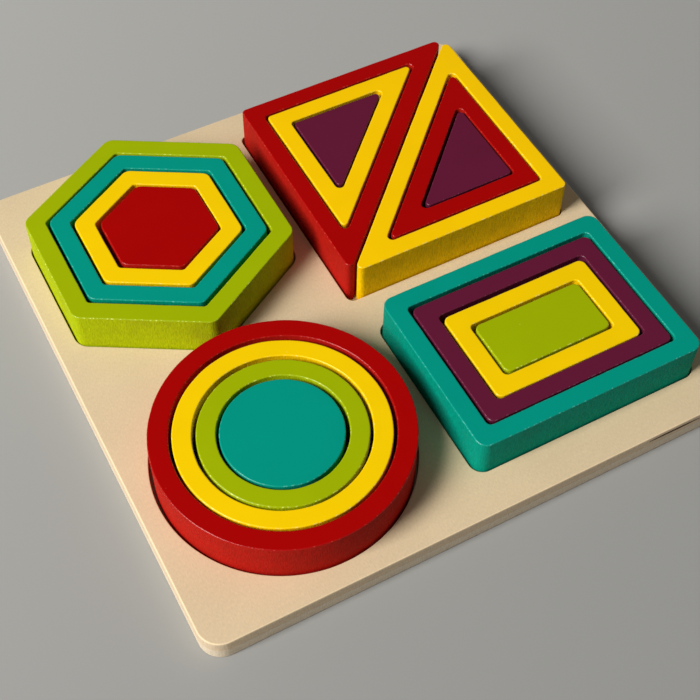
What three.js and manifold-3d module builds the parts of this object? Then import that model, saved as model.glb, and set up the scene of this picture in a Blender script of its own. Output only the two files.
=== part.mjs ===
// A wooden shape sorting puzzle. A plywood board has four sockets, which hold a hexagon, a circle,
// a rectangle and a square of two triangles. Each shape is a nest of painted blocks: rings that lie
// one inside the next around a solid core, and every block lifts out by hand.
// Millimetres, +Z up. The origin is the middle of the board's underside, +X runs to the right along
// the board's front edge, and +Y runs to its back.

import * as THREE from "three";
import { mergeVertices } from "three/addons/utils/BufferGeometryUtils.js";
import Module from "manifold-3d";

// Board: a closed sheet of plywood glued under a pierced one, then sanded as one
const BASE_SHEET = 4.5;
const FRAME_SHEET = 4;
const BOARD_CORNER = 7;
const BOARD_EDGE = 0.75;
const SOCKET_GAP = 0.9;

// Wood that is left round the sockets and between them
const HEXAGON_LEFT_MARGIN = 6.4;
const HEXAGON_BACK_MARGIN = 3.2;
const CIRCLE_LEFT_MARGIN = 6.45;
const CIRCLE_FRONT_MARGIN = 6.3;
const SQUARE_RIGHT_MARGIN = 8.5;
const SQUARE_BACK_MARGIN = 11.7;
const RECTANGLE_RIGHT_MARGIN = 8.3;
const RECTANGLE_FRONT_MARGIN = 12.55;
const WEB_ACROSS = 5.85;
const WEB_ALONG = 2.4;

// Blocks: all of one height, with rounded edges and corners
const BLOCK_HEIGHT = 18;
const BLOCK_EDGE = 0.5;

// Shapes: outer size, corner radius outside, on a nested block and in a hole, wall of each ring, and
// play between a block and the next one in
const HEXAGON_FLATS = 75;
const HEXAGON_CORNER = 2.8;
const HEXAGON_NESTED_CORNER = 2;
const HEXAGON_HOLE_CORNER = 1.2;
const HEXAGON_BAND = 6;
const HEXAGON_GAP = 0.9;

const CIRCLE_DIAMETER = 77.6;
const CIRCLE_BAND = 6;
const CIRCLE_GAP = 0.8;

const RECTANGLE_LENGTH = 78.2;
const RECTANGLE_WIDTH = 59.9;
const RECTANGLE_CORNER = 3.6;
const RECTANGLE_NESTED_CORNER = 2.2;
const RECTANGLE_HOLE_CORNER = 1.6;
const RECTANGLE_BAND = 5.9;
const RECTANGLE_GAP = 0.9;

const SQUARE_SIDE = 80.4;
const TRIANGLE_CORNER = 1.7;
const TRIANGLE_NESTED_CORNER = 2;
const TRIANGLE_HOLE_CORNER = 0.5;
const TRIANGLE_BAND = 5.9;
const TRIANGLE_GAP = 0.8;
const DIAGONAL_GAP = 0.8;

// Facets of a full circle, of a rounded corner and of a rounded edge
const CIRCLE_FACETS = 32;
const CORNER_FACETS = 4;
const EDGE_FACETS = 2;

const PLYWOOD = { color: 0xe2cba0, roughness: 0.75, metalness: 0 };
const PAINT_ROUGHNESS = 0.4;
const PAINT_COLOURS = {
  red: 0xa80a06,
  green: 0xa0b404,
  teal: 0x009682,
  yellow: 0xfbd000,
  purple: 0x5c1830,
};

const wasm = await Module();
wasm.setup();

// A closed geometry as a solid that can be cut.
function solidOf(geometry) {
  const bare = geometry.clone();
  bare.deleteAttribute("normal");
  bare.deleteAttribute("uv");
  const merged = mergeVertices(bare, 1e-4);
  const vertProperties = new Float32Array(merged.getAttribute("position").array);
  const triVerts = new Uint32Array(merged.index.array);
  return new wasm.Manifold(new wasm.Mesh({ numProp: 3, vertProperties, triVerts }));
}

function geometryOf(solid) {
  const { vertProperties, triVerts } = solid.getMesh();
  const geometry = new THREE.BufferGeometry();
  geometry.setAttribute("position", new THREE.BufferAttribute(vertProperties, 3));
  geometry.setIndex(new THREE.BufferAttribute(triVerts, 1));
  geometry.computeVertexNormals();
  return geometry;
}

// Outlines: corners run counter-clockwise round a convex shape.

function cornerAt(points, i) {
  const corner = points[i];
  const toBefore = points.at(i - 1).clone().sub(corner);
  const toAfter = points[(i + 1) % points.length].clone().sub(corner);
  const halfAngle = toBefore.angleTo(toAfter) / 2;
  const inward = toBefore.clone().normalize().add(toAfter.clone().normalize()).normalize();
  return { corner, toBefore, toAfter, halfAngle, inward };
}

// The same shape with each side moved in by a distance, or out by a negative one.
function inset(points, distance) {
  return points.map((_, i) => {
    const { corner, halfAngle, inward } = cornerAt(points, i);
    return corner.clone().addScaledVector(inward, distance / Math.sin(halfAngle));
  });
}

// The shape with an arc at each corner, whose radius is limited by the sides that meet there.
function roundedOutline(points, radius) {
  const outline = new THREE.Shape();
  points.forEach((_, i) => {
    const { corner, toBefore, toAfter, halfAngle, inward } = cornerAt(points, i);
    const longestReach = Math.min(toBefore.length(), toAfter.length()) / 2;
    const reach = Math.min(radius / Math.tan(halfAngle), longestReach);
    const arcRadius = reach * Math.tan(halfAngle);
    const centre = corner.clone().addScaledVector(inward, arcRadius / Math.sin(halfAngle));
    const startAngle = Math.atan2(toBefore.x, -toBefore.y);
    const endAngle = Math.atan2(-toAfter.x, toAfter.y);
    outline.absarc(centre.x, centre.y, arcRadius, startAngle, endAngle, false);
  });
  return outline;
}

function circleOutline(radius) {
  return new THREE.Shape().absarc(0, 0, radius, 0, 2 * Math.PI, false);
}

function rectangleCorners(length, width) {
  const x = length / 2;
  const y = width / 2;
  return [
    new THREE.Vector2(-x, -y),
    new THREE.Vector2(x, -y),
    new THREE.Vector2(x, y),
    new THREE.Vector2(-x, y),
  ];
}

// A hexagon that points to the front and to the back.
function hexagonCorners(flats) {
  const toCorner = new THREE.Vector2(0, flats / 2 / Math.cos(Math.PI / 6));
  const middle = new THREE.Vector2();
  return Array.from({ length: 6 }, (_, i) => toCorner.clone().rotateAround(middle, (i * Math.PI) / 3));
}

// A half of the square, cut along its diagonal. The side is -1 for the half whose right angle is at the
// back left, and 1 for the half whose right angle is at the front right.
function triangleCorners(side) {
  const leg = SQUARE_SIDE - DIAGONAL_GAP / Math.SQRT2;
  const rightAngle = new THREE.Vector2(side, -side).multiplyScalar(SQUARE_SIDE / 2);
  const alongY = rightAngle.clone().add(new THREE.Vector2(0, side * leg));
  const alongX = rightAngle.clone().add(new THREE.Vector2(-side * leg, 0));
  return [rightAngle, alongY, alongX];
}

// Each kind of shape gives its outline at a depth inside its outer one, with a corner radius.
const hexagon = hexagonCorners(HEXAGON_FLATS);
const hexagonAt = (depth, corner) => roundedOutline(inset(hexagon, depth), corner);
const circleAt = (depth) => circleOutline(CIRCLE_DIAMETER / 2 - depth);
const rectangle = rectangleCorners(RECTANGLE_LENGTH, RECTANGLE_WIDTH);
const rectangleAt = (depth, corner) => roundedOutline(inset(rectangle, depth), corner);
const square = rectangleCorners(SQUARE_SIDE, SQUARE_SIDE);
const squareAt = (depth, corner) => roundedOutline(inset(square, depth), corner);
const leftTriangle = triangleCorners(-1);
const leftTriangleAt = (depth, corner) => roundedOutline(inset(leftTriangle, depth), corner);
const rightTriangle = triangleCorners(1);
const rightTriangleAt = (depth, corner) => roundedOutline(inset(rightTriangle, depth), corner);

// Layout: the board is as large as its sockets, margins and webs make it.

const hexagonSocketFlats = HEXAGON_FLATS + 2 * SOCKET_GAP;
const hexagonSocketPoints = hexagonSocketFlats / Math.cos(Math.PI / 6);
const circleSocket = CIRCLE_DIAMETER + 2 * SOCKET_GAP;
const squareSocket = SQUARE_SIDE + 2 * SOCKET_GAP;
const rectangleSocketLength = RECTANGLE_LENGTH + 2 * SOCKET_GAP;
const rectangleSocketWidth = RECTANGLE_WIDTH + 2 * SOCKET_GAP;

const backRowLength =
  HEXAGON_LEFT_MARGIN + hexagonSocketFlats + WEB_ACROSS + squareSocket + SQUARE_RIGHT_MARGIN;
const frontRowLength =
  CIRCLE_LEFT_MARGIN + circleSocket + WEB_ACROSS + rectangleSocketLength + RECTANGLE_RIGHT_MARGIN;
const boardLength = Math.max(backRowLength, frontRowLength);
const leftColumnDepth =
  CIRCLE_FRONT_MARGIN + circleSocket + WEB_ALONG + hexagonSocketPoints + HEXAGON_BACK_MARGIN;
const rightColumnDepth =
  RECTANGLE_FRONT_MARGIN + rectangleSocketWidth + WEB_ALONG + squareSocket + SQUARE_BACK_MARGIN;
const boardDepth = Math.max(leftColumnDepth, rightColumnDepth);
const boardThickness = BASE_SHEET + FRAME_SHEET;

const fromLeft = (margin, length) => -boardLength / 2 + margin + length / 2;
const fromRight = (margin, length) => boardLength / 2 - margin - length / 2;
const fromFront = (margin, depth) => -boardDepth / 2 + margin + depth / 2;
const fromBack = (margin, depth) => boardDepth / 2 - margin - depth / 2;

const hexagonPlace = new THREE.Vector2(
  fromLeft(HEXAGON_LEFT_MARGIN, hexagonSocketFlats),
  fromBack(HEXAGON_BACK_MARGIN, hexagonSocketPoints),
);
const squarePlace = new THREE.Vector2(
  fromRight(SQUARE_RIGHT_MARGIN, squareSocket),
  fromBack(SQUARE_BACK_MARGIN, squareSocket),
);
const circlePlace = new THREE.Vector2(
  fromLeft(CIRCLE_LEFT_MARGIN, circleSocket),
  fromFront(CIRCLE_FRONT_MARGIN, circleSocket),
);
const rectanglePlace = new THREE.Vector2(
  fromRight(RECTANGLE_RIGHT_MARGIN, rectangleSocketLength),
  fromFront(RECTANGLE_FRONT_MARGIN, rectangleSocketWidth),
);

// An upright solid on z = 0 with its top and bottom edges rounded.
function roundedPrism(outline, height, edge, facets) {
  const geometry = new THREE.ExtrudeGeometry(outline, {
    depth: height - 2 * edge,
    bevelThickness: edge,
    bevelSize: edge,
    bevelOffset: -edge,
    bevelSegments: EDGE_FACETS,
    curveSegments: facets / 2,
  });
  return geometry.translate(0, 0, edge);
}

// The cutter of a socket: straight walls, from the glue line up past the board's face.
function socketCutter(outline, place, facets) {
  const options = { depth: 2 * FRAME_SHEET, bevelEnabled: false, curveSegments: facets / 2 };
  const geometry = new THREE.ExtrudeGeometry(outline, options);
  return solidOf(geometry.translate(place.x, place.y, BASE_SHEET - FRAME_SHEET / 2));
}

function boardSheets() {
  const outline = roundedOutline(rectangleCorners(boardLength, boardDepth), BOARD_CORNER);
  const board = solidOf(roundedPrism(outline, boardThickness, BOARD_EDGE, CORNER_FACETS));
  const upperHalf = new THREE.BoxGeometry(2 * boardLength, 2 * boardDepth, 2 * FRAME_SHEET);
  const aboveGlueLine = solidOf(upperHalf.translate(0, 0, BASE_SHEET + FRAME_SHEET));
  const sockets = [
    socketCutter(hexagonAt(-SOCKET_GAP, HEXAGON_CORNER + SOCKET_GAP), hexagonPlace, CORNER_FACETS),
    socketCutter(circleAt(-SOCKET_GAP), circlePlace, CIRCLE_FACETS),
    socketCutter(rectangleAt(-SOCKET_GAP, RECTANGLE_CORNER + SOCKET_GAP), rectanglePlace, CORNER_FACETS),
    socketCutter(squareAt(-SOCKET_GAP, TRIANGLE_CORNER + SOCKET_GAP), squarePlace, CORNER_FACETS),
  ];
  const pierced = sockets.reduce((sheet, cutter) => sheet.subtract(cutter), board.intersect(aboveGlueLine));
  const material = () => new THREE.MeshStandardMaterial(PLYWOOD);
  const base = new THREE.Mesh(geometryOf(board.subtract(aboveGlueLine)), material());
  base.name = "base_sheet";
  const frame = new THREE.Mesh(geometryOf(pierced), material());
  frame.name = "tray_frame";
  return [base, frame];
}

// A nest of blocks on z = 0. Each block is a band wide and lies a gap inside the one before it, and the
// last is a solid core. A lean says how far a loose block lies to one side in its place, as a share of
// the gap round it.
function nest({ name, outlineAt, corners, band, gap, facets = CORNER_FACETS, blocks }) {
  const middle = new THREE.Vector2();
  return blocks.map(({ colour, lean = [0, 0] }, i) => {
    const depth = i * (band + gap);
    const isCore = i === blocks.length - 1;
    const outline = outlineAt(depth, i === 0 ? corners.outer : corners.nested);
    if (!isCore) {
      outline.holes.push(outlineAt(depth + band, corners.hole));
    }
    const color = PAINT_COLOURS[colour];
    const material = new THREE.MeshStandardMaterial({ color, roughness: PAINT_ROUGHNESS, metalness: 0 });
    const block = new THREE.Mesh(roundedPrism(outline, BLOCK_HEIGHT, BLOCK_EDGE, facets), material);
    block.name = `${name}_${isCore ? "core" : "ring"}_${colour}`;
    middle.addScaledVector(new THREE.Vector2(...lean), gap);
    block.position.set(middle.x, middle.y, 0);
    return block;
  });
}

const hexagonNest = nest({
  name: "hexagon",
  outlineAt: hexagonAt,
  corners: { outer: HEXAGON_CORNER, nested: HEXAGON_NESTED_CORNER, hole: HEXAGON_HOLE_CORNER },
  band: HEXAGON_BAND,
  gap: HEXAGON_GAP,
  blocks: [
    { colour: "green" },
    { colour: "teal", lean: [-0.1, 0.3] },
    { colour: "yellow" },
    { colour: "red", lean: [0.3, 0] },
  ],
});

const circleNest = nest({
  name: "circle",
  outlineAt: circleAt,
  corners: {},
  band: CIRCLE_BAND,
  gap: CIRCLE_GAP,
  facets: CIRCLE_FACETS,
  blocks: [
    { colour: "red" },
    { colour: "yellow" },
    { colour: "green", lean: [0.1, -0.1] },
    { colour: "teal", lean: [-0.1, -0.1] },
  ],
});

const rectangleNest = nest({
  name: "rectangle",
  outlineAt: rectangleAt,
  corners: { outer: RECTANGLE_CORNER, nested: RECTANGLE_NESTED_CORNER, hole: RECTANGLE_HOLE_CORNER },
  band: RECTANGLE_BAND,
  gap: RECTANGLE_GAP,
  blocks: [
    { colour: "teal" },
    { colour: "purple" },
    { colour: "yellow", lean: [-0.1, -0.4] },
    { colour: "green", lean: [0.1, -0.1] },
  ],
});

const triangleCornerRadii = {
  outer: TRIANGLE_CORNER,
  nested: TRIANGLE_NESTED_CORNER,
  hole: TRIANGLE_HOLE_CORNER,
};

const leftTriangleNest = nest({
  name: "left_triangle",
  outlineAt: leftTriangleAt,
  corners: triangleCornerRadii,
  band: TRIANGLE_BAND,
  gap: TRIANGLE_GAP,
  blocks: [
    { colour: "red" },
    { colour: "yellow" },
    { colour: "purple", lean: [0.1, -0.3] },
  ],
});

const rightTriangleNest = nest({
  name: "right_triangle",
  outlineAt: rightTriangleAt,
  corners: triangleCornerRadii,
  band: TRIANGLE_BAND,
  gap: TRIANGLE_GAP,
  blocks: [
    { colour: "yellow" },
    { colour: "red", lean: [0.1, -0.1] },
    { colour: "purple", lean: [0.2, -0.2] },
  ],
});

function standOnBase(blocks, place) {
  const group = new THREE.Group();
  group.add(...blocks);
  group.position.set(place.x, place.y, BASE_SHEET);
  return group;
}

const puzzle = new THREE.Group();
puzzle.name = "shape_sorting_puzzle";
puzzle.add(
  ...boardSheets(),
  standOnBase(hexagonNest, hexagonPlace),
  standOnBase(circleNest, circlePlace),
  standOnBase(rectangleNest, rectanglePlace),
  standOnBase(leftTriangleNest, squarePlace),
  standOnBase(rightTriangleNest, squarePlace),
);

export default puzzle;
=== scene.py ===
# %% [markdown]
# # A wooden shape sorting puzzle
# A pale plywood board holds a hexagon, a circle, a rectangle and two triangles. Each shape is a nest of
# painted wooden rings round a core. The solids come from the CAD frame, which also says where each block
# lies. This lesson gives them their looks: rounded edges, paint, plywood, a floor and light.

# %% Frame
import math

import bmesh
import bpy
from mathutils import Matrix, Quaternion, Vector


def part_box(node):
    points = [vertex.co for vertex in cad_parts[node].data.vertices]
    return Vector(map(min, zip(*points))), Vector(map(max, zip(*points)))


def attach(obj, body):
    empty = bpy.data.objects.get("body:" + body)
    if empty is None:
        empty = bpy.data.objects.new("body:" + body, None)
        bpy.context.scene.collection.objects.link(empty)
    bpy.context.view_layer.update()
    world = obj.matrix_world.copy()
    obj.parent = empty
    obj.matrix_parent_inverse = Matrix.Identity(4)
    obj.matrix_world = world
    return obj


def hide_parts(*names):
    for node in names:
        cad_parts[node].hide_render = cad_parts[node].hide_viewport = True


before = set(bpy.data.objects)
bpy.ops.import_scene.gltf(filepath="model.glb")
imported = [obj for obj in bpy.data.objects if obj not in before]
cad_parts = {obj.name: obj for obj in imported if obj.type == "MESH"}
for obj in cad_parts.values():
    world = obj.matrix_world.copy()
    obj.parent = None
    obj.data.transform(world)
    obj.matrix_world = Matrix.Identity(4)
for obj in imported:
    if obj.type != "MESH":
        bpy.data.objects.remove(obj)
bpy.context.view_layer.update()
scene = bpy.context.scene
scene.view_settings.view_transform = "Standard"
MM = 0.001

# %% [markdown]
# ## Camera
# The picture is taken from above the front left, a little closer than the usual table view, so that the
# board's right corner leaves the frame. The camera is turned by its direction: an azimuth, counted from
# the board's back round to its right, an elevation and the small roll of a hand-held picture.

# %% Camera
CAMERA_PLACE = Vector((-0.1252, -0.2285, 0.3418))
CAMERA_AZIMUTH = math.radians(29.06)
CAMERA_ELEVATION = math.radians(-54.39)
CAMERA_ROLL = math.radians(1.13)
LENS_MM = 67.84
SENSOR_MM = 36
NEAREST_SEEN = 10 * MM


def heading(azimuth, elevation):
    level = math.cos(elevation)
    return Vector((math.sin(azimuth) * level, math.cos(azimuth) * level, math.sin(elevation)))


camera_data = bpy.data.cameras.new("Photo camera")
camera_data.lens = LENS_MM
camera_data.sensor_width = SENSOR_MM
camera_data.clip_start = NEAREST_SEEN
camera = bpy.data.objects.new("Photo camera", camera_data)
scene.collection.objects.link(camera)
forward = heading(CAMERA_AZIMUTH, CAMERA_ELEVATION)
camera.rotation_mode = "QUATERNION"
camera.rotation_quaternion = forward.to_track_quat("-Z", "Y") @ Quaternion((0, 0, 1), CAMERA_ROLL)
camera.location = CAMERA_PLACE
scene.camera = camera
print("camera stands", round(CAMERA_PLACE.length, 3), "m from the board's middle")

# %% [markdown]
# ## One helper for every node
# Shader trees and geometry trees are wired in the same way: make a node, set its options, then give each
# input a value or a link. One small function does that, so a tree reads from top to bottom like a recipe.
# A list of links goes into one input, as a join takes them. A second function turns a colour as it is
# picked from a picture, in sRGB, to the linear light that Blender counts in.

# %% Helpers for nodes, colours and materials
def add_node(tree, kind, inputs=None, **settings):
    node = tree.nodes.new(kind)
    for name, value in settings.items():
        setattr(node, name, value)
    for key, value in (inputs or {}).items():
        sources = value if isinstance(value, list) else [value]
        if isinstance(sources[0], bpy.types.NodeSocket):
            for source in sources:
                tree.links.new(source, node.inputs[key])
        else:
            node.inputs[key].default_value = value
    return node


def linear(hex_colour):
    """The sRGB curve, undone for each of red, green and blue."""
    parts = [int(hex_colour[i:i + 2], 16) / 255 for i in (1, 3, 5)]
    return tuple(p / 12.92 if p <= 0.04045 else ((p + 0.055) / 1.055) ** 2.4 for p in parts) + (1.0,)


def new_material(name):
    """A material, its tree and its surface shader."""
    material = bpy.data.materials.new(name)
    material.use_nodes = True
    return material, material.node_tree, material.node_tree.nodes["Principled BSDF"]


print("mid grey in linear light:", [round(value, 3) for value in linear("#808080")])

# %% [markdown]
# ## Where on a block
# The blocks are small pieces of soft wood under a coat of satin paint. The coat looks different on a top,
# on a side and on an edge, so one material has to know which of these places it is on. Masks could be
# painted by hand, but the surface's own normal already tells: it is upright on a top, level on a side, and
# between the two on an edge.

# %% Places on a block
SIDE_FLATNESS = {"From Min": 0.1, "From Max": 0.5, "To Min": 1, "To Max": 0}
TOP_FLATNESS = {"From Min": 0.85, "From Max": 0.995}


def flatness_of(tree, normal):
    """1 where a surface lies flat, and 0 where it stands upright."""
    upright = add_node(tree, "ShaderNodeSeparateXYZ", {"Vector": normal}).outputs["Z"]
    return add_node(tree, "ShaderNodeMath", {0: upright}, operation="ABSOLUTE").outputs[0]


def places_on_block(tree):
    """Masks that are 1 on a flat top, on an upright side, and on the round between them."""
    normal = add_node(tree, "ShaderNodeNewGeometry").outputs["Normal"]
    flatness = flatness_of(tree, normal)
    on_side = add_node(tree, "ShaderNodeMapRange", {0: flatness, **SIDE_FLATNESS}).outputs[0]
    on_top = add_node(tree, "ShaderNodeMapRange", {0: flatness, **TOP_FLATNESS}).outputs[0]
    off_top = add_node(tree, "ShaderNodeMath", {0: 1.0, 1: on_top}, operation="SUBTRACT").outputs[0]
    on_edge = add_node(
        tree, "ShaderNodeMath", {0: off_top, 1: on_side}, operation="SUBTRACT", use_clamp=True
    ).outputs[0]
    return on_top, on_side, on_edge


top_lean = math.degrees(math.acos(TOP_FLATNESS["From Max"]))
side_lean = math.degrees(math.asin(SIDE_FLATNESS["From Min"]))
print("a top leans by up to", round(top_lean, 1), "degrees, and a side by up to", round(side_lean, 1))

# %% [markdown]
# ## Paint on the sides
# On the cut sides the paint sank into the fibres. They are duller than the tops and look stippled in
# raking light, and where the coat is thin a little brown wood shows through. Noise that is drawn out along
# Z gives the upright fibres, with a scale that comes from their real width and length. A broad noise says
# where the coat is thin. A noise seldom leaves the middle of its range, so only that span is used.

# %% Sides
FIBRE_WIDTH = 0.35 * MM
FIBRE_LENGTH = 1.7 * MM
FIBRE_SIZES = (FIBRE_WIDTH, FIBRE_WIDTH, FIBRE_LENGTH)
THIN_SIZE = 9 * MM
NOISE_SPAN = {"From Min": 0.3, "From Max": 0.7}
SIDE_TONE = {"To Min": 0.8, "To Max": 1.17}
THIN_COAT = {"From Min": 0.52, "From Max": 0.68, "To Max": 0.3}


def drawn_out_noise(tree, place, sizes, detail, roughness):
    """Noise whose spots have a size of their own along X, Y and Z."""
    scale = tuple(1 / size for size in sizes)
    drawn_out = add_node(tree, "ShaderNodeMapping", {"Vector": place, "Scale": scale}).outputs[0]
    pattern = {"Vector": drawn_out, "Scale": 1, "Detail": detail, "Roughness": roughness}
    return add_node(tree, "ShaderNodeTexNoise", pattern).outputs[0]


def sunk_paint(tree, place, fibres, side, wood):
    """A side's colour: stippled by its fibres, with streaks of wood where the coat is thin."""
    tone = add_node(tree, "ShaderNodeMapRange", {0: fibres, **NOISE_SPAN, **SIDE_TONE}).outputs[0]
    stippled = add_node(
        tree, "ShaderNodeVectorMath", {0: linear(side)[:3], "Scale": tone}, operation="SCALE"
    ).outputs[0]
    coat_depth = add_node(
        tree, "ShaderNodeTexNoise", {"Vector": place, "Scale": 1 / THIN_SIZE, "Detail": 2}
    ).outputs[0]
    thinness = add_node(tree, "ShaderNodeMapRange", {0: coat_depth, **THIN_COAT}).outputs[0]
    streaks = add_node(tree, "ShaderNodeMath", {0: thinness, 1: fibres}, operation="MULTIPLY").outputs[0]
    return add_node(
        tree, "ShaderNodeMix", {"Factor": streaks, 6: stippled, 7: linear(wood)}, data_type="RGBA"
    ).outputs[2]


print("fibres in mm:", [round(size / MM, 2) for size in FIBRE_SIZES])

# %% [markdown]
# ## Nicks, painted glints and dust
# The edges are handled most, so there the paint has fine nicks. Their colour is pale, so they are painted
# glints too: painted highlights that break the edge's line of light. On the tops lies a speck of dust here
# and there. Nicks are the brightest spots of a fine noise, kept to the edges. Specks are the middles of very
# large Voronoi cells, which leaves them few and far apart.

# %% Marks and painted glints on the paint
NICK_AND_GLINT_SIZE = 0.8 * MM
NICKS_AND_GLINTS = {"From Min": 0.57, "From Max": 0.64, "To Max": 0.8}
SPECK_SPACING = 60 * MM
SPECK_RADIUS = 0.13 * MM
SPECK_STRENGTH = 0.8


def marks_and_glints_on_paint(tree, place, spots, on_top, on_edge):
    """How much of the pale colour shows: nicked spots and painted glints on edges, dust specks on tops."""
    nicks_and_glints = add_node(tree, "ShaderNodeMapRange", {0: spots, **NICKS_AND_GLINTS}).outputs[0]
    edge_nicks_and_glints = add_node(tree, "ShaderNodeMath", {0: nicks_and_glints, 1: on_edge}, operation="MULTIPLY").outputs[0]
    far = add_node(
        tree, "ShaderNodeTexVoronoi", {"Vector": place, "Scale": 1 / SPECK_SPACING}, voronoi_dimensions="2D"
    ).outputs["Distance"]
    reach = SPECK_RADIUS / SPECK_SPACING
    specks = add_node(
        tree,
        "ShaderNodeMapRange",
        {0: far, "From Min": reach / 2, "From Max": reach, "To Min": SPECK_STRENGTH, "To Max": 0},
    ).outputs[0]
    top_specks = add_node(tree, "ShaderNodeMath", {0: specks, 1: on_top}, operation="MULTIPLY").outputs[0]
    return add_node(
        tree, "ShaderNodeMath", {0: edge_nicks_and_glints, 1: top_specks}, operation="MAXIMUM"
    ).outputs[0]


print("one speck to", round((SPECK_SPACING / MM) ** 2 / 100), "square centimetres")

# %% [markdown]
# ## Painted wood
# Now the places, the sides and the marks come together. On a top the paint was rubbed smooth, so its colour
# wanders by two percent at most and it shines softly. A side hardly shines. An edge is polished by handling
# and catches a thin line of light, which small dents break up. Each paint has the colour of its face, of
# its sides, of its nicks and of the wood that it sank into. The nick colour is pale, so the spots along the
# edges are painted glints as well as nicks. Not all pots are alike: the yellow of the triangles is a little
# deeper.

# %% Painted wood
MOTTLE_SIZE = 14 * MM
FACE_TONE = {"To Min": 0.98, "To Max": 1.02}
PAINT_IOR = 1.48
TOP_SHINE = 0.1
EDGE_SHINE = 0.38
EDGE_ROUGHNESS = 0.3
TOP_TO_SIDE_SHINE = {"To Min": TOP_SHINE, "To Max": 0.03}
TOP_TO_SIDE_ROUGHNESS = {"To Min": 0.36, "To Max": 0.62}
SIDE_RELIEF = {"Strength": 0.65, "Distance": 0.25 * MM}
EDGE_RELIEF = {"Strength": 0.7, "Distance": 0.2 * MM}


def painted_wood(colour, face, side, nick_and_glint, wood):
    """Satin paint on soft wood: an even face, stippled sides, and nicked edges with painted glints."""
    material, tree, shader = new_material(f"Satin {colour} paint on wood")
    place = add_node(tree, "ShaderNodeTexCoord").outputs["Object"]
    on_top, on_side, on_edge = places_on_block(tree)
    fibres = drawn_out_noise(tree, place, FIBRE_SIZES, detail=3, roughness=0.65)
    spots = add_node(
        tree, "ShaderNodeTexNoise", {"Vector": place, "Scale": 1 / NICK_AND_GLINT_SIZE, "Detail": 2}
    ).outputs[0]

    # Colour: the face and the sides, and then the marks on both, whose pale nicks are also painted glints.
    mottle = add_node(
        tree, "ShaderNodeTexNoise", {"Vector": place, "Scale": 1 / MOTTLE_SIZE, "Detail": 2}
    ).outputs[0]
    face_tone = add_node(tree, "ShaderNodeMapRange", {0: mottle, **NOISE_SPAN, **FACE_TONE}).outputs[0]
    face_colour = add_node(
        tree, "ShaderNodeVectorMath", {0: linear(face)[:3], "Scale": face_tone}, operation="SCALE"
    ).outputs[0]
    side_colour = sunk_paint(tree, place, fibres, side, wood)
    coat = add_node(
        tree, "ShaderNodeMix", {"Factor": on_side, 6: face_colour, 7: side_colour}, data_type="RGBA"
    ).outputs[2]
    marks = marks_and_glints_on_paint(tree, place, spots, on_top, on_edge)
    coat_with_marks_and_glints = add_node(
        tree, "ShaderNodeMix", {"Factor": marks, 6: coat, 7: linear(nick_and_glint)}, data_type="RGBA"
    ).outputs[2]
    tree.links.new(coat_with_marks_and_glints, shader.inputs["Base Color"])

    # Shine: from the top's to the side's, and the edge's over both.
    flat_gloss = add_node(tree, "ShaderNodeMapRange", {0: on_side, **TOP_TO_SIDE_ROUGHNESS}).outputs[0]
    gloss = add_node(tree, "ShaderNodeMix", {"Factor": on_edge, 2: flat_gloss, 3: EDGE_ROUGHNESS}).outputs[0]
    flat_shine = add_node(tree, "ShaderNodeMapRange", {0: on_side, **TOP_TO_SIDE_SHINE}).outputs[0]
    shine = add_node(tree, "ShaderNodeMix", {"Factor": on_edge, 2: flat_shine, 3: EDGE_SHINE}).outputs[0]
    tree.links.new(gloss, shader.inputs["Roughness"])
    tree.links.new(shine, shader.inputs["Specular IOR Level"])
    shader.inputs["IOR"].default_value = PAINT_IOR
    shader.inputs["Specular IOR Level"].default_value = TOP_SHINE

    # Relief: fibres on the sides, and small dents that break the line of light along an edge.
    side_height = add_node(tree, "ShaderNodeMath", {0: fibres, 1: on_side}, operation="MULTIPLY").outputs[0]
    side_relief = add_node(tree, "ShaderNodeBump", {"Height": side_height, **SIDE_RELIEF}).outputs[0]
    edge_height = add_node(tree, "ShaderNodeMath", {0: spots, 1: on_edge}, operation="MULTIPLY").outputs[0]
    relief = add_node(
        tree, "ShaderNodeBump", {"Height": edge_height, "Normal": side_relief, **EDGE_RELIEF}
    ).outputs[0]
    tree.links.new(relief, shader.inputs["Normal"])
    return material


# The red and green sides are paler than their faces: paint sunk into the end grain, and a painted sheen for
# the light that the lit sides catch.
PAINTS = {
    "red": painted_wood("red", face="#A60201", side="#B21C13", nick_and_glint="#C4402E", wood="#7A2414"),
    "green": painted_wood("green", face="#9FB101", side="#AEBE0A", nick_and_glint="#E4EC70", wood="#7C6A1C"),
    "teal": painted_wood("teal", face="#009480", side="#04947C", nick_and_glint="#5CBCAA", wood="#2C6A50"),
    "yellow": painted_wood("yellow", face="#FACE01", side="#F6C604", nick_and_glint="#FFE680", wood="#B08418"),
    "deep yellow": painted_wood(
        "deep yellow", face="#FFCC01", side="#F9C604", nick_and_glint="#FFE680", wood="#B08418"
    ),
    "purple": painted_wood("purple", face="#621934", side="#5E1C36", nick_and_glint="#7A4A58", wood="#4A2A2C"),
}
print("paints:", ", ".join(PAINTS))

# %% [markdown]
# ## Shapes
# Every block is an outline with a height. The CAD box of a node gives the outline's size and place, and
# the family of the shape gives its corners. They run counter-clockwise. A triangle is half of a square, and
# its CAD box stops short of its two sharp tips, because those are rounded: at 45 degrees a round ends the
# square root of two times its radius before the tip.

# %% Corners from the CAD boxes
CIRCLE_POINTS = 144


def box_of(node):
    low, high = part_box(node)
    return Vector((low.x, low.y)), Vector((high.x, high.y))


def round_about(low, high, count, start, reach):
    """Points that lie evenly round the middle of a box."""
    middle = (low + high) / 2
    turns = [start + i * 2 * math.pi / count for i in range(count)]
    return [middle + reach * Vector((math.cos(turn), math.sin(turn))) for turn in turns]


def hexagon(low, high):
    half_flats = (high.x - low.x) / 2
    return round_about(low, high, 6, math.pi / 2, half_flats / math.cos(math.pi / 6))


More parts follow.
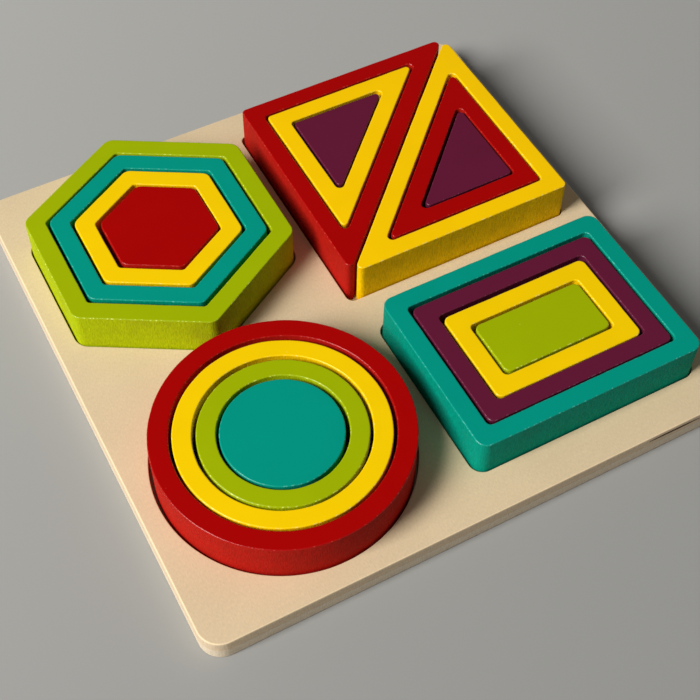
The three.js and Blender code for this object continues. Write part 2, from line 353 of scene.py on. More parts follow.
def circle(low, high):
    return round_about(low, high, CIRCLE_POINTS, 0.0, (high.x - low.x) / 2)


def rectangle(low, high):
    return [low.copy(), Vector((high.x, low.y)), high.copy(), Vector((low.x, high.y))]


def triangle(low, high, tip_radius, side):
    """Half a square. Its right angle is at the back left for a side of -1, and at the front right for 1."""
    leg = high.x - low.x + math.sqrt(2) * tip_radius
    right_angle = Vector((low.x, high.y)) if side < 0 else Vector((high.x, low.y))
    return [right_angle, right_angle + side * Vector((0, leg)), right_angle - side * Vector((leg, 0))]


circle_low, circle_high = box_of("circle_ring_red")
print("the circle's box:", [round(size / MM, 1) for size in circle_high - circle_low], "mm")

# %% [markdown]
# ## Outlines
# An outline is kept as a closed poly curve, and each point's radius says how round the corner is there.
# Extra points along the straight sides let the sanded edges waver a little later. They keep clear of the
# rounds, which reach along a side by up to 2.4 radii, at the tip of a triangle. Outer outlines run
# counter-clockwise and holes clockwise, so that the wood is always on the same hand.

# %% Outlines
SIDE_STEP = 1.6 * MM
CLEAR_RADII = 3.2
CLEAR_MARGIN = 0.5 * MM

helpers = []


def moved_in(corners, distance):
    """The same shape with each side moved in by a distance."""
    moved = []
    for i, corner in enumerate(corners):
        to_before = (corners[i - 1] - corner).normalized()
        to_after = (corners[(i + 1) % len(corners)] - corner).normalized()
        half_angle = to_before.angle(to_after) / 2
        inward = (to_before + to_after).normalized()
        moved.append(corner + inward * distance / math.sin(half_angle))
    return moved


def stepped(corners, radius):
    """Points with a radius: each corner, and plain points along the sides between the rounds."""
    points = []
    clear = CLEAR_RADII * radius + CLEAR_MARGIN
    for i, corner in enumerate(corners):
        after = corners[(i + 1) % len(corners)]
        length = (after - corner).length
        straight = length - 2 * clear
        count = int(straight / SIDE_STEP)
        points.append((corner, radius))
        for k in range(count + 1 if count > 0 else 0):
            share = (clear + straight * k / count) / length
            points.append((corner.lerp(after, share), 0.0))
    return points


def helper_curve(name, loops, closed=True):
    """A poly curve that a geometry tree reads. It is removed once the board is made."""
    data = bpy.data.curves.new(name, "CURVE")
    data.dimensions = "3D"
    for points in loops:
        spline = data.splines.new("POLY")
        spline.points.add(len(points) - 1)
        for point, (place, radius) in zip(spline.points, points):
            point.co = (place.x, place.y, 0, 1)
            point.radius = radius
        spline.use_cyclic_u = closed
    helper = bpy.data.objects.new(name, data)
    scene.collection.objects.link(helper)
    helpers.append(helper)
    return helper


print("points on a hexagon:", len(stepped(hexagon(*box_of("hexagon_ring_green")), 0.0)))

# %% [markdown]
# ## A block as a rule: walls and faces
# A ring has two walls, one round its outline and one round its hole, and both have the same edges. So a
# block follows a rule: round the outline's corners, run an edge profile along it, and close it with a flat
# face above and below. Geometry Nodes can say that once for eighteen blocks and for the board's two sheets.

# %% Walls and faces
MERGE_DISTANCE = 0.002 * MM


def loop_and_wall(tree, given, name):
    """An outline with rounded corners, and the wall that its profile makes round it."""
    outline = add_node(tree, "GeometryNodeObjectInfo", {"Object": given[name]}).outputs["Geometry"]
    profile_object = given[f"{name} profile"]
    profile = add_node(tree, "GeometryNodeObjectInfo", {"Object": profile_object}).outputs["Geometry"]
    radius = add_node(tree, "GeometryNodeInputRadius").outputs[0]
    rounded = add_node(
        tree,
        "GeometryNodeFilletCurve",
        {"Curve": outline, "Count": given["Corner steps"], "Radius": radius, "Limit Radius": True},
        mode="POLY",
    ).outputs[0]
    loop = add_node(tree, "GeometryNodeSetCurveRadius", {"Curve": rounded, "Radius": 1.0}).outputs[0]
    wall = add_node(tree, "GeometryNodeCurveToMesh", {"Curve": loop, "Profile Curve": profile}).outputs[0]
    return loop, wall


def closed_solid(tree, given):
    """The walls with a flat face above and below them."""
    outer_loop, outer_wall = loop_and_wall(tree, given, "Outline")
    hole_loop, hole_wall = loop_and_wall(tree, given, "Holes")
    loops = add_node(tree, "GeometryNodeJoinGeometry", {0: [outer_loop, hole_loop]}).outputs[0]
    face = add_node(tree, "GeometryNodeFillCurve", {"Curve": loops}, mode="NGONS").outputs[0]
    high = add_node(tree, "ShaderNodeCombineXYZ", {"Z": given["Top"]}).outputs[0]
    low = add_node(tree, "ShaderNodeCombineXYZ", {"Z": given["Bottom"]}).outputs[0]
    top = add_node(tree, "GeometryNodeTransform", {"Geometry": face, "Translation": high}).outputs[0]
    underside = add_node(tree, "GeometryNodeTransform", {"Geometry": face, "Translation": low}).outputs[0]
    bottom = add_node(tree, "GeometryNodeFlipFaces", {"Mesh": underside}).outputs[0]
    shell = [outer_wall, hole_wall, top, bottom]
    solid = add_node(tree, "GeometryNodeJoinGeometry", {0: shell}).outputs[0]
    return add_node(
        tree, "GeometryNodeMergeByDistance", {"Geometry": solid, "Distance": MERGE_DISTANCE}
    ).outputs[0]


print("points closer than", round(MERGE_DISTANCE / MM, 4), "mm are merged")

# %% [markdown]
# ## A block as a rule: sanding
# No edge on the real blocks is quite straight, because they were sanded by hand. A little noise moves the
# walls and edges along their normals, mostly inwards, and leaves the flat faces alone. The tree takes its
# sizes by name. It is run on an empty mesh, and the result is kept as a plain mesh with no modifier.

# %% Geometry tree for blocks and sheets
FLAT_FACE = {"From Min": 0.9, "From Max": 0.99, "To Min": 1, "To Max": 0}
MOSTLY_INWARDS = 0.65
TREE_INPUTS = {
    "Outline": "NodeSocketObject",
    "Outline profile": "NodeSocketObject",
    "Holes": "NodeSocketObject",
    "Holes profile": "NodeSocketObject",
    "Bottom": "NodeSocketFloat",
    "Top": "NodeSocketFloat",
    "Corner steps": "NodeSocketInt",
    "Sanding depth": "NodeSocketFloat",
    "Sanding length": "NodeSocketFloat",
    "Material": "NodeSocketMaterial",
}


def sanded(tree, given, solid):
    """The solid with its walls and edges moved by noise of a given depth and length."""
    normal = add_node(tree, "GeometryNodeInputNormal").outputs["Normal"]
    flatness = flatness_of(tree, normal)
    off_face = add_node(tree, "ShaderNodeMapRange", {"Value": flatness, **FLAT_FACE}).outputs["Result"]
    length = given["Sanding length"]
    scale = add_node(tree, "ShaderNodeMath", {0: 1.0, 1: length}, operation="DIVIDE").outputs[0]
    place = add_node(tree, "GeometryNodeInputPosition").outputs[0]
    noise = add_node(
        tree, "ShaderNodeTexNoise", {"Vector": place, "Scale": scale, "Detail": 2, "Roughness": 0.5}
    ).outputs["Fac"]
    swing = add_node(tree, "ShaderNodeMath", {0: noise, 1: MOSTLY_INWARDS}, operation="SUBTRACT").outputs[0]
    most = given["Sanding depth"]
    depth = add_node(tree, "ShaderNodeMath", {0: swing, 1: most}, operation="MULTIPLY").outputs[0]
    masked = add_node(tree, "ShaderNodeMath", {0: depth, 1: off_face}, operation="MULTIPLY").outputs[0]
    shift = add_node(
        tree, "ShaderNodeVectorMath", {0: normal, "Scale": masked}, operation="SCALE"
    ).outputs[0]
    return add_node(tree, "GeometryNodeSetPosition", {"Geometry": solid, "Offset": shift}).outputs[0]


def edged_solid_tree():
    tree = bpy.data.node_groups.new("Edge profile round an outline", "GeometryNodeTree")
    for name, kind in TREE_INPUTS.items():
        tree.interface.new_socket(name, in_out="INPUT", socket_type=kind)
    tree.interface.new_socket("Geometry", in_out="OUTPUT", socket_type="NodeSocketGeometry")
    given = add_node(tree, "NodeGroupInput").outputs
    worn = sanded(tree, given, closed_solid(tree, given))
    smooth = add_node(
        tree, "GeometryNodeSetShadeSmooth", {"Geometry": worn, "Shade Smooth": True}
    ).outputs[0]
    real = add_node(tree, "GeometryNodeRealizeInstances", {"Geometry": smooth}).outputs[0]
    coated = add_node(
        tree, "GeometryNodeSetMaterial", {"Geometry": real, "Material": given["Material"]}
    ).outputs[0]
    add_node(tree, "NodeGroupOutput", {"Geometry": coated})
    return tree


def plain_piece(name, tree, settings):
    """Run the tree on an empty mesh, and keep the result as a plain mesh with no modifier."""
    piece = bpy.data.objects.new(name, bpy.data.meshes.new(name))
    scene.collection.objects.link(piece)
    modifier = piece.modifiers.new(tree.name, "NODES")
    modifier.node_group = tree
    for item in tree.interface.items_tree:
        if item.in_out == "INPUT":
            modifier[item.identifier] = settings[item.name]
    evaluated = piece.evaluated_get(bpy.context.evaluated_depsgraph_get())
    mesh = bpy.data.meshes.new_from_object(evaluated)
    piece.modifiers.clear()
    piece.data = mesh
    mesh.name = name
    return piece


edged_solid = edged_solid_tree()
print("tree nodes:", len(edged_solid.nodes))

# %% [markdown]
# ## Edge profile
# The blocks' edges are quarter rounds of a third of a millimetre, small but enough to catch the light. The
# profile runs from the top over the edge, down the wall and under the lower edge. It starts and ends with a
# narrow flat land, which keeps the shading of the large flat faces true.

# %% Edge profile of the blocks
EDGE = 0.36 * MM
LAND = 0.2 * MM
EDGE_STEPS = 5


def rounded_edge(out, top, edge):
    """Points of a quarter round, from the top to the wall. Each is a distance out and a height."""
    turns = [i * math.pi / 2 / EDGE_STEPS for i in range(EDGE_STEPS + 1)]
    return [(out - edge + edge * math.sin(turn), top - edge + edge * math.cos(turn)) for turn in turns]


def profile_curve(name, points):
    """A sweep lays the Y of a profile downwards, so the heights are turned over."""
    return helper_curve(name, [[(Vector((out, -height)), 0.0) for out, height in points]], closed=False)


floor_of_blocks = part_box("hexagon_core_red")[0].z
top_of_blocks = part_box("hexagon_core_red")[1].z
upper_half = [
    (0.0, top_of_blocks),
    *rounded_edge(LAND + EDGE, top_of_blocks, EDGE),
    (LAND + EDGE, top_of_blocks - EDGE - LAND),
]
lower_half = [(out, floor_of_blocks + top_of_blocks - height) for out, height in reversed(upper_half)]
block_profile = profile_curve("block edge", upper_half + lower_half)
print("blocks stand from", round(floor_of_blocks / MM, 2), "to", round(top_of_blocks / MM, 2), "mm")

# %% [markdown]
# ## Families of shapes
# Each family has its own corner radii, for its outermost block, for the blocks nested in it and for their
# holes. Each has a wall, and on the nested blocks of two families a trim, which opens the gaps by a hair.
# The tips of the nested triangles are sharper than in the CAD model. Loose blocks don't lie in the middle
# of their play: within a millimetre, those of the circle have slid to the front left here, and those of the
# rectangle to the front.

# %% Families and slides
TRIANGLE = {"outer": 1.7 * MM, "nested": 1.3 * MM, "hole": 1.5 * MM, "wall": 6.0 * MM, "trim": 0.0}
FAMILIES = {
    "hexagon": {"outer": 4.0 * MM, "nested": 3.2 * MM, "hole": 1.4 * MM, "wall": 6.2 * MM, "trim": 0.2 * MM},
    "circle": {"outer": 0.0, "nested": 0.0, "hole": 0.0, "wall": 6.05 * MM, "trim": 0.25 * MM},
    "rectangle": {"outer": 3.6 * MM, "nested": 2.2 * MM, "hole": 1.6 * MM, "wall": 6.0 * MM, "trim": 0.0},
    "left_triangle": TRIANGLE,
    "right_triangle": TRIANGLE,
}
CAD_NESTED_TIP = 2.0 * MM
OUTERMOST = {
    "hexagon_ring_green",
    "circle_ring_red",
    "rectangle_ring_teal",
    "left_triangle_ring_red",
    "right_triangle_ring_yellow",
}
SLID = {
    "hexagon_ring_teal": (0.05 * MM, 0.05 * MM),
    "hexagon_core_red": (0.2 * MM, 0.0),
    "circle_ring_red": (-0.15 * MM, 0.05 * MM),
    "circle_ring_yellow": (-0.4 * MM, -0.35 * MM),
    "circle_ring_green": (-0.55 * MM, -0.6 * MM),
    "circle_core_teal": (-0.75 * MM, -0.65 * MM),
    "rectangle_ring_purple": (0.0, -0.4 * MM),
    "rectangle_ring_yellow": (0.0, -0.7 * MM),
    "rectangle_core_green": (0.0, -0.75 * MM),
}


def corners_of(node, family):
    slide = Vector(SLID.get(node, (0.0, 0.0)))
    low, high = (end + slide for end in box_of(node))
    if family == "hexagon":
        return hexagon(low, high)
    if family == "circle":
        return circle(low, high)
    if family == "rectangle":
        return rectangle(low, high)
    cad_tip = FAMILIES[family]["outer"] if node in OUTERMOST else CAD_NESTED_TIP
    return triangle(low, high, cad_tip, -1 if family == "left_triangle" else 1)


furthest = max(SLID, key=lambda node: Vector(SLID[node]).length)
print(furthest, "has slid furthest, by", round(Vector(SLID[furthest]).length / MM, 2), "mm")

# %% [markdown]
# ## The eighteen blocks
# Every block runs the same tree on its own outline and hole. A core is the same rule with no hole in it.
# The profile grows outwards from its path, so the path lies inside the outline by the width of the edge and
# its land, and the corners' radii change by as much.

# %% Blocks
BLOCK_CORNER_STEPS = 6
BLOCK_SANDING_DEPTH = 0.22 * MM
BLOCK_SANDING_LENGTH = 5 * MM
INSET = EDGE + LAND

block_nodes = [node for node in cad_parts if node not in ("base_sheet", "tray_frame")]
no_hole = helper_curve("no hole", [])

for node in block_nodes:
    family, kind, colour = node.rsplit("_", 2)
    shape = FAMILIES[family]
    is_outermost = node in OUTERMOST
    radius = shape["outer" if is_outermost else "nested"]
    trim = 0.0 if is_outermost else shape["trim"]
    corners = moved_in(corners_of(node, family), trim)
    outline = helper_curve(f"{node} outline", [stepped(moved_in(corners, INSET), max(radius - INSET, 0.0))])
    hole = no_hole
    if kind == "ring":
        hole_radius = shape["hole"] + INSET if shape["hole"] else 0.0
        loop = stepped(moved_in(corners, shape["wall"] - trim - INSET), hole_radius)
        hole = helper_curve(f"{node} hole", [loop[::-1]])
    paint = "deep yellow" if colour == "yellow" and shape is TRIANGLE else colour
    piece = plain_piece(f"{node}_painted", edged_solid, {
        "Outline": outline,
        "Outline profile": block_profile,
        "Holes": hole,
        "Holes profile": block_profile,
        "Bottom": floor_of_blocks,
        "Top": top_of_blocks,
        "Corner steps": BLOCK_CORNER_STEPS,
        "Sanding depth": BLOCK_SANDING_DEPTH,
        "Sanding length": BLOCK_SANDING_LENGTH,
        "Material": PAINTS[paint],
    })
    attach(piece, node)
    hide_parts(node)
    low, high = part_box(node)
    spread = [round((max(v.co[i] for v in piece.data.vertices) - high[i]) / MM, 2) for i in range(3)]
    print(node, len(piece.data.polygons), "faces, stands out from the CAD by", spread, "mm")

# %% [markdown]
# ## Face of the plywood
# The board is pale plywood, sanded and left bare. Its face has a fine, even stipple, a few paler flecks and
# broad, faint clouds. All of them are noise on one colour. Where the face rolls over into the edge, the
# wood is painted lighter: a painted highlight for the thin line of light that the round catches.

# %% Plywood face
VENEER_WIDTH = 0.45 * MM
VENEER_LENGTH = 1.0 * MM
VENEER_SIZES = (VENEER_WIDTH, VENEER_LENGTH, VENEER_WIDTH)
CLOUD_SIZE = 22 * MM
STIPPLE_TONE = {"To Min": 0.925, "To Max": 1.06}
CLOUD_TONE = {"To Min": 0.97, "To Max": 1.03}
FLECKS = {"From Min": 0.68, "From Max": 0.76, "To Min": 1, "To Max": 1.1}
ROLLED_OVER = 0.82
RIM_HIGHLIGHT = {"From Min": 0.1, "From Max": 0.17, "To Min": 1.22, "To Max": 1}


def veneer_colour(tree, place, grain, face):
    """The face's colour with its stipple, clouds and flecks."""
    clouds = add_node(
        tree, "ShaderNodeTexNoise", {"Vector": place, "Scale": 1 / CLOUD_SIZE, "Detail": 2}
    ).outputs[0]
    stipple = add_node(tree, "ShaderNodeMapRange", {0: grain, **NOISE_SPAN, **STIPPLE_TONE}).outputs[0]
    shades = add_node(tree, "ShaderNodeMapRange", {0: clouds, **NOISE_SPAN, **CLOUD_TONE}).outputs[0]
    flecks = add_node(tree, "ShaderNodeMapRange", {0: grain, **FLECKS}).outputs[0]
    shaded = add_node(tree, "ShaderNodeMath", {0: stipple, 1: shades}, operation="MULTIPLY").outputs[0]
    tone = add_node(tree, "ShaderNodeMath", {0: shaded, 1: flecks}, operation="MULTIPLY").outputs[0]
    return add_node(
        tree, "ShaderNodeVectorMath", {0: linear(face)[:3], "Scale": tone}, operation="SCALE"
    ).outputs[0]


def painted_rim_highlight(tree, flatness):
    """How much lighter the wood is painted on the round between a face and the edge: a painted highlight."""
    off_round = add_node(
        tree, "ShaderNodeMath", {0: flatness, 1: ROLLED_OVER}, operation="SUBTRACT"
    ).outputs[0]
    distance = add_node(tree, "ShaderNodeMath", {0: off_round}, operation="ABSOLUTE").outputs[0]
    return add_node(tree, "ShaderNodeMapRange", {0: distance, **RIM_HIGHLIGHT}).outputs[0]


print("stipple in mm:", [round(size / MM, 2) for size in VENEER_SIZES])

# %% [markdown]
# ## Edge of the plywood
# The sawn edge is a paler cream, with fine upright saw marks. The upper sheet is a little darker there than
# the lower one. Thin dark lines show where the sheets are glued and where a ply ends in each of them. The
# height on the board says which sheet an edge point is in, and how near it is to a line.

# %% Plywood edge
GLUE_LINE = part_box("base_sheet")[1].z
BOARD_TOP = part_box("tray_frame")[1].z
UPPER_SEAM = BOARD_TOP - 1.9 * MM
LOWER_SEAM = 1.8 * MM
SEAMS = [
    {"height": UPPER_SEAM, "width": 0.25 * MM, "darkness": 0.15},
    {"height": GLUE_LINE, "width": 0.3 * MM, "darkness": 0.35},
    {"height": LOWER_SEAM, "width": 0.25 * MM, "darkness": 0.12},
]
SAW_MARK = 0.4 * MM
SAW_STROKE = 3 * MM
SAW_SIZES = (SAW_MARK, SAW_MARK, SAW_STROKE)
SAW_TONE = {"To Min": 0.84, "To Max": 1.1}


def sawn_edge_colour(tree, height, sawn, upper_edge, lower_edge):
    """The edge's colour: a tone for each sheet, saw marks, and a thin dark line at each seam."""
    tone = add_node(tree, "ShaderNodeMapRange", {0: sawn, **NOISE_SPAN, **SAW_TONE}).outputs[0]
    for seam in SEAMS:
        offset = add_node(
            tree, "ShaderNodeMath", {0: height, 1: seam["height"]}, operation="SUBTRACT"
        ).outputs[0]
        distance = add_node(tree, "ShaderNodeMath", {0: offset}, operation="ABSOLUTE").outputs[0]
        width = {"From Min": seam["width"] / 4, "From Max": seam["width"]}
        shade = {"To Min": 1 - seam["darkness"], "To Max": 1}
        line = add_node(tree, "ShaderNodeMapRange", {0: distance, **width, **shade}).outputs[0]
        tone = add_node(tree, "ShaderNodeMath", {0: tone, 1: line}, operation="MULTIPLY").outputs[0]
    is_upper = add_node(
        tree, "ShaderNodeMath", {0: height, 1: GLUE_LINE}, operation="GREATER_THAN"
    ).outputs[0]
    sheets = {6: linear(lower_edge), 7: linear(upper_edge)}
    sheet = add_node(tree, "ShaderNodeMix", {"Factor": is_upper, **sheets}, data_type="RGBA").outputs[2]
    return add_node(tree, "ShaderNodeVectorMath", {0: sheet, "Scale": tone}, operation="SCALE").outputs[0]


print("glue line at", round(GLUE_LINE / MM, 2), "mm, board top at", round(BOARD_TOP / MM, 2), "mm")

# %% [markdown]
# ## Bare plywood
# The face and the edge become one material, chosen by the normal as on the blocks. Bare wood is dull. The
# saw marks give the edge some relief, and the face keeps only a trace of its grain.

# %% Plywood
PLYWOOD_ROUGHNESS = 0.72
PLYWOOD_IOR = 1.45
SAWN_FLATNESS = {"From Min": 0.2, "From Max": 0.7, "To Min": 1, "To Max": 0}
SAW_RELIEF = {"Strength": 0.4, "Distance": 0.15 * MM}
GRAIN_RELIEF = {"Strength": 0.08, "Distance": 0.08 * MM}


def bare_plywood(name, face, upper_edge, lower_edge):
    """Sanded plywood: a faint stipple on the faces, and sheets, saw marks and seams on the edges."""
    material, tree, shader = new_material(name)
    place = add_node(tree, "ShaderNodeTexCoord").outputs["Object"]
    height = add_node(tree, "ShaderNodeSeparateXYZ", {"Vector": place}).outputs["Z"]
    normal = add_node(tree, "ShaderNodeNewGeometry").outputs["Normal"]
    flatness = flatness_of(tree, normal)
    on_side = add_node(tree, "ShaderNodeMapRange", {0: flatness, **SAWN_FLATNESS}).outputs[0]
    grain = drawn_out_noise(tree, place, VENEER_SIZES, detail=4, roughness=0.6)
    sawn = drawn_out_noise(tree, place, SAW_SIZES, detail=3, roughness=0.65)

    face_colour = veneer_colour(tree, place, grain, face)
    edge_colour = sawn_edge_colour(tree, height, sawn, upper_edge, lower_edge)
    colour = add_node(
        tree, "ShaderNodeMix", {"Factor": on_side, 6: face_colour, 7: edge_colour}, data_type="RGBA"
    ).outputs[2]
    # Painted highlight: the round between a face and the edge is made lighter, for the line of light it
    # catches.
    rim_highlight = painted_rim_highlight(tree, flatness)
    highlit_colour = add_node(
        tree, "ShaderNodeVectorMath", {0: colour, "Scale": rim_highlight}, operation="SCALE"
    ).outputs[0]
    tree.links.new(highlit_colour, shader.inputs["Base Color"])
    shader.inputs["Roughness"].default_value = PLYWOOD_ROUGHNESS
    shader.inputs["IOR"].default_value = PLYWOOD_IOR

    saw_height = add_node(tree, "ShaderNodeMath", {0: sawn, 1: on_side}, operation="MULTIPLY").outputs[0]
    saw_relief = add_node(tree, "ShaderNodeBump", {"Height": saw_height, **SAW_RELIEF}).outputs[0]
    relief = add_node(
        tree, "ShaderNodeBump", {"Height": grain, "Normal": saw_relief, **GRAIN_RELIEF}
    ).outputs[0]
    tree.links.new(relief, shader.inputs["Normal"])
    return material


plywood = bare_plywood("Bare sanded plywood", face="#DEC69F", upper_edge="#DEC6A4", lower_edge="#E2D0B4")
print("plywood nodes:", len(plywood.node_tree.nodes))

# %% [markdown]
# ## Profiles of the board
# Two sheets are glued and then sanded as one: a closed base and a frame with four sockets. The rule that
# made the blocks makes them too, with longer profiles. They have a fine groove where the sheets meet and
# finer ones at the other seams. The sockets have straight walls with a barely broken edge.

# %% Board profiles
BOARD_EDGE = 0.5 * MM
SOCKET_EDGE = 0.25 * MM
PLY_GROOVE = 0.04 * MM
GLUE_GROOVE = 0.08 * MM


def ply_groove(height, out):
    return [(out, height + PLY_GROOVE), (out - PLY_GROOVE, height), (out, height - PLY_GROOVE)]


board_inset = BOARD_EDGE + LAND
socket_inset = SOCKET_EDGE + LAND
lower_round = [(out, -height) for out, height in reversed(rounded_edge(board_inset, 0.0, BOARD_EDGE))]
base_profile = profile_curve("base edge", [
    (0.0, GLUE_LINE),
    (board_inset - GLUE_GROOVE, GLUE_LINE),
    (board_inset, GLUE_LINE - GLUE_GROOVE),
    *ply_groove(LOWER_SEAM, board_inset),
    *lower_round,
    (0.0, 0.0),
])
frame_profile = profile_curve("frame edge", [
    (0.0, BOARD_TOP),
    *rounded_edge(board_inset, BOARD_TOP, BOARD_EDGE),
    *ply_groove(UPPER_SEAM, board_inset),
    (board_inset, GLUE_LINE + GLUE_GROOVE),
    (board_inset - GLUE_GROOVE, GLUE_LINE),
    (0.0, GLUE_LINE),
])
socket_profile = profile_curve("socket edge", [
    (0.0, BOARD_TOP),
    *rounded_edge(socket_inset, BOARD_TOP, SOCKET_EDGE),
    (socket_inset, GLUE_LINE),
    (0.0, GLUE_LINE),
])
print("points in the frame's profile:", len(frame_profile.data.splines[0].points))

# %% [markdown]
# ## Sockets
# A socket follows the outermost block that lies in it, with some play. The sockets were cut by hand as
# well, so the play isn't the same all round: each socket has its own gap, its own corners and a slide of a
# few tenths of a millimetre, mostly to the back.

# %% Sockets
SOCKETS = {
    "hexagon": {"corner": 6.0 * MM, "gap": 0.7 * MM, "slide": (0.2 * MM, 0.3 * MM)},
    "circle": {"corner": 0.0, "gap": 0.9 * MM, "slide": (-0.15 * MM, 0.45 * MM)},
    "rectangle": {"corner": 4.9 * MM, "gap": 0.7 * MM, "slide": (0.2 * MM, 0.35 * MM)},
    "square": {"corner": 3.0 * MM, "gap": 0.75 * MM, "slide": (0.05 * MM, 0.4 * MM)},
}

left_low, left_high = box_of("left_triangle_ring_red")
right_low, right_high = box_of("right_triangle_ring_yellow")
socket_corners = {
    "hexagon": hexagon(*box_of("hexagon_ring_green")),
    "circle": circle(*box_of("circle_ring_red")),
    "rectangle": rectangle(*box_of("rectangle_ring_teal")),
    "square": rectangle(Vector((left_low.x, right_low.y)), Vector((right_high.x, left_high.y))),
}
socket_loops = []
for name, socket in SOCKETS.items():
    slide = Vector(socket["slide"])
    path = [corner + slide for corner in moved_in(socket_corners[name], -socket["gap"] - socket_inset)]
    socket_loops.append(stepped(path, socket["corner"])[::-1])
sockets = helper_curve("sockets", socket_loops)
print("sockets:", ", ".join(SOCKETS))

# %% [markdown]
# ## The two sheets
# Both sheets have the board's outline, and only the frame has the sockets. They share the outline's points
# and the sanding noise, so their edges meet along the glue line.

# %% Board sheets
BOARD_CORNER = 7 * MM

board_low, board_high = box_of("base_sheet")
board_path = moved_in(rectangle(board_low, board_high), board_inset)
board_settings = {
    "Outline": helper_curve("board outline", [stepped(board_path, BOARD_CORNER - board_inset)]),
    "Holes profile": socket_profile,
    "Corner steps": 10,
    "Sanding depth": 0.1 * MM,
    "Sanding length": 9 * MM,
    "Material": plywood,
}
base = plain_piece("base_sheet_plywood", edged_solid, board_settings | {
    "Outline profile": base_profile,
    "Holes": no_hole,
    "Bottom": 0.0,
    "Top": GLUE_LINE,
})
tray = plain_piece("tray_frame_plywood", edged_solid, board_settings | {
    "Outline profile": frame_profile,
    "Holes": sockets,
    "Bottom": GLUE_LINE,
    "Top": BOARD_TOP,
})
for helper in helpers:
    curve = helper.data
    bpy.data.objects.remove(helper)
    bpy.data.curves.remove(curve)
print("faces:", len(base.data.polygons), "on the base and", len(tray.data.polygons), "on the frame")

# %% [markdown]
# ## The split
# Near the right end of the front edge a seam has come open. A dark line could be drawn in the material, but
# a real gap keeps its look from every side: a thin lens is cut out of the frame. The cut takes the lens's
# own material: dull raw wood whose dark brown is painted shade, for the little light that comes back out of
# the gap.

# %% Split in the front edge
SPLIT_START = 54.5 * MM
SPLIT_END = 73.5 * MM
SPLIT_DROP = 0.2 * MM
SPLIT_GAPE = 1.0 * MM
SPLIT_DEPTH = 3.0 * MM
SPLIT_ROUGHNESS = 0.9

split_start = Vector((SPLIT_START, board_low.y, UPPER_SEAM))
split_end = Vector((SPLIT_END, board_low.y, UPPER_SEAM - SPLIT_DROP))
split_along = split_end - split_start
split_place = Matrix.LocRotScale(
    (split_start + split_end) / 2,
    Vector((1, 0, 0)).rotation_difference(split_along),
    Vector((split_along.length / 2, SPLIT_DEPTH, SPLIT_GAPE / 2)),
)
lens = bmesh.new()
bmesh.ops.create_uvsphere(lens, u_segments=32, v_segments=16, radius=1.0, matrix=split_place)
lens_mesh = bpy.data.meshes.new("split")
lens.to_mesh(lens_mesh)
lens.free()
split_wood_and_shade, _, split_shader = new_material("Dark raw wood in the split")
# A dark brown: painted shade for the deep, narrow gap, on dull raw wood.
split_shader.inputs["Base Color"].default_value = linear("#6B4C36")
split_shader.inputs["Roughness"].default_value = SPLIT_ROUGHNESS
lens_mesh.materials.append(split_wood_and_shade)

cutter = bpy.data.objects.new("split", lens_mesh)
scene.collection.objects.link(cutter)
cut = tray.modifiers.new("Split in the front edge", "BOOLEAN")
cut.object = cutter
cut.operation = "DIFFERENCE"
cut.material_mode = "TRANSFER"
evaluated = tray.evaluated_get(bpy.context.evaluated_depsgraph_get())
tray.data = bpy.data.meshes.new_from_object(evaluated)
tray.data.name = tray.name
tray.modifiers.clear()
bpy.data.objects.remove(cutter)
bpy.data.meshes.remove(lens_mesh)
print("split of", round(split_along.length / MM, 1), "mm in the front edge")

# %% [markdown]
# ## The board in the frame
# Grooves and cut edges have to look crisp, so edges that turn by more than a set angle are marked sharp.
# Both sheets ride on the board's body and take the place of their CAD nodes.

# %% Board in the frame
SHARP_TURN = math.radians(32)

for piece, node in ((base, "base_sheet"), (tray, "tray_frame")):
    piece.data.set_sharp_from_angle(angle=SHARP_TURN)
    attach(piece, "board")
    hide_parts(node)
    print(piece.name, len(piece.data.polygons), "faces")

# %% [markdown]
# ## Floor
# The board lies on a plain grey table. Its coat is matt, so it shows a soft shadow and no clear reflection.
# Its grey is painted lighter towards the back, as painted light that brightens the far table.

# %% Floor
FLOOR_SIZE = 6.0
FLOOR_ROUGHNESS = 0.8
PAINTED_LIGHT_FRONT_TO_BACK = {"From Min": -0.2, "From Max": 0.22}

half = FLOOR_SIZE / 2
floor_corners = [(-half, -half, 0), (half, -half, 0), (half, half, 0), (-half, half, 0)]
floor_mesh = bpy.data.meshes.new("Floor")
floor_mesh.from_pydata(floor_corners, [], [(0, 1, 2, 3)])
floor = bpy.data.objects.new("Floor", floor_mesh)
scene.collection.objects.link(floor)
floor_material, floor_tree, floor_shader = new_material("Matt grey table")
floor_place = add_node(floor_tree, "ShaderNodeTexCoord").outputs["Object"]
floor_depth = add_node(floor_tree, "ShaderNodeSeparateXYZ", {"Vector": floor_place}).outputs["Y"]
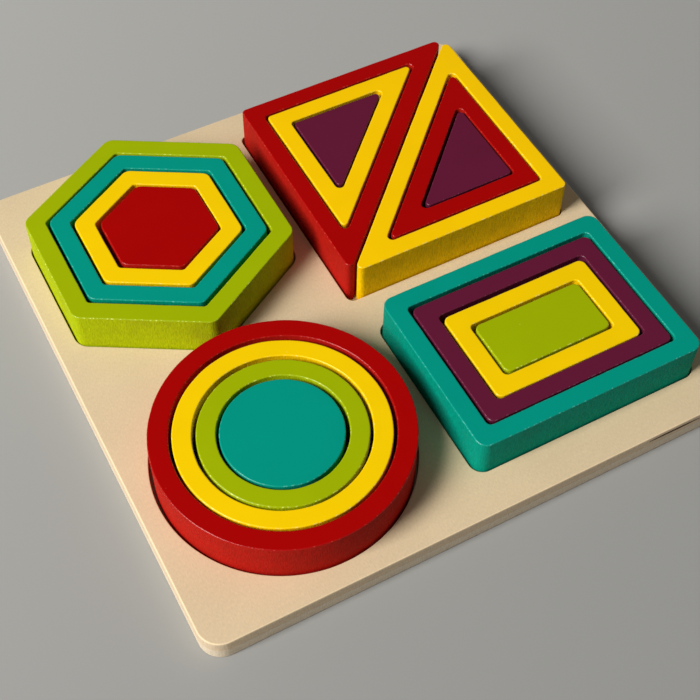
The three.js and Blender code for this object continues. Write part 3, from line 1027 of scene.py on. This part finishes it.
# Painted light: the grey is lighter towards the back.
painted_back_light = add_node(floor_tree, "ShaderNodeMapRange", {0: floor_depth, **PAINTED_LIGHT_FRONT_TO_BACK}).outputs[0]
painted_light_greys = {6: linear("#94938F"), 7: linear("#B2B1AC")}
grey = add_node(floor_tree, "ShaderNodeMix", {"Factor": painted_back_light, **painted_light_greys}, data_type="RGBA").outputs[2]
floor_tree.links.new(grey, floor_shader.inputs["Base Color"])
floor_shader.inputs["Roughness"].default_value = FLOOR_ROUGHNESS
floor_mesh.materials.append(floor_material)
print("floor of", FLOOR_SIZE, "m")

# %% [markdown]
# ## Light
# One soft lamp stands at the left like a window, so shadows fall to the right and fade within a block's
# height, and light only grazes the front sides. The rest is a dim room: lighter near the horizon, which
# fills the shaded sides, and darker overhead, so that the tops keep their full colour.

# %% Light
LAMP_AZIMUTH = math.radians(-96)
LAMP_ELEVATION = math.radians(40)
LAMP_DISTANCE = 2.2
LAMP_WIDTH = 0.7
LAMP_HEIGHT = 1.2
LAMP_POWER = 63.5
ROOM_LIGHT = {"From Min": 0.05, "From Max": 0.6, "To Min": 0.17, "To Max": 0.12}

lamp_data = bpy.data.lights.new("Key from the left", "AREA")
lamp_data.shape = "RECTANGLE"
lamp_data.size = LAMP_WIDTH
lamp_data.size_y = LAMP_HEIGHT
lamp_data.energy = LAMP_POWER
lamp = bpy.data.objects.new("Key from the left", lamp_data)
scene.collection.objects.link(lamp)
to_lamp = heading(LAMP_AZIMUTH, LAMP_ELEVATION)
lamp.location = to_lamp * LAMP_DISTANCE
lamp.rotation_mode = "QUATERNION"
lamp.rotation_quaternion = (-to_lamp).to_track_quat("-Z", "Y")

world = bpy.data.worlds.new("Dim room, lighter near the horizon")
world.use_nodes = True
sky = world.node_tree
sky_direction = add_node(sky, "ShaderNodeTexCoord").outputs["Generated"]
rise = add_node(sky, "ShaderNodeSeparateXYZ", {"Vector": sky_direction}).outputs["Z"]
fill = add_node(sky, "ShaderNodeMapRange", {0: rise, **ROOM_LIGHT}).outputs[0]
sky.links.new(fill, sky.nodes["Background"].inputs["Strength"])
sky.nodes["Background"].inputs["Color"].default_value = linear("#FFFFFF")
scene.world = world
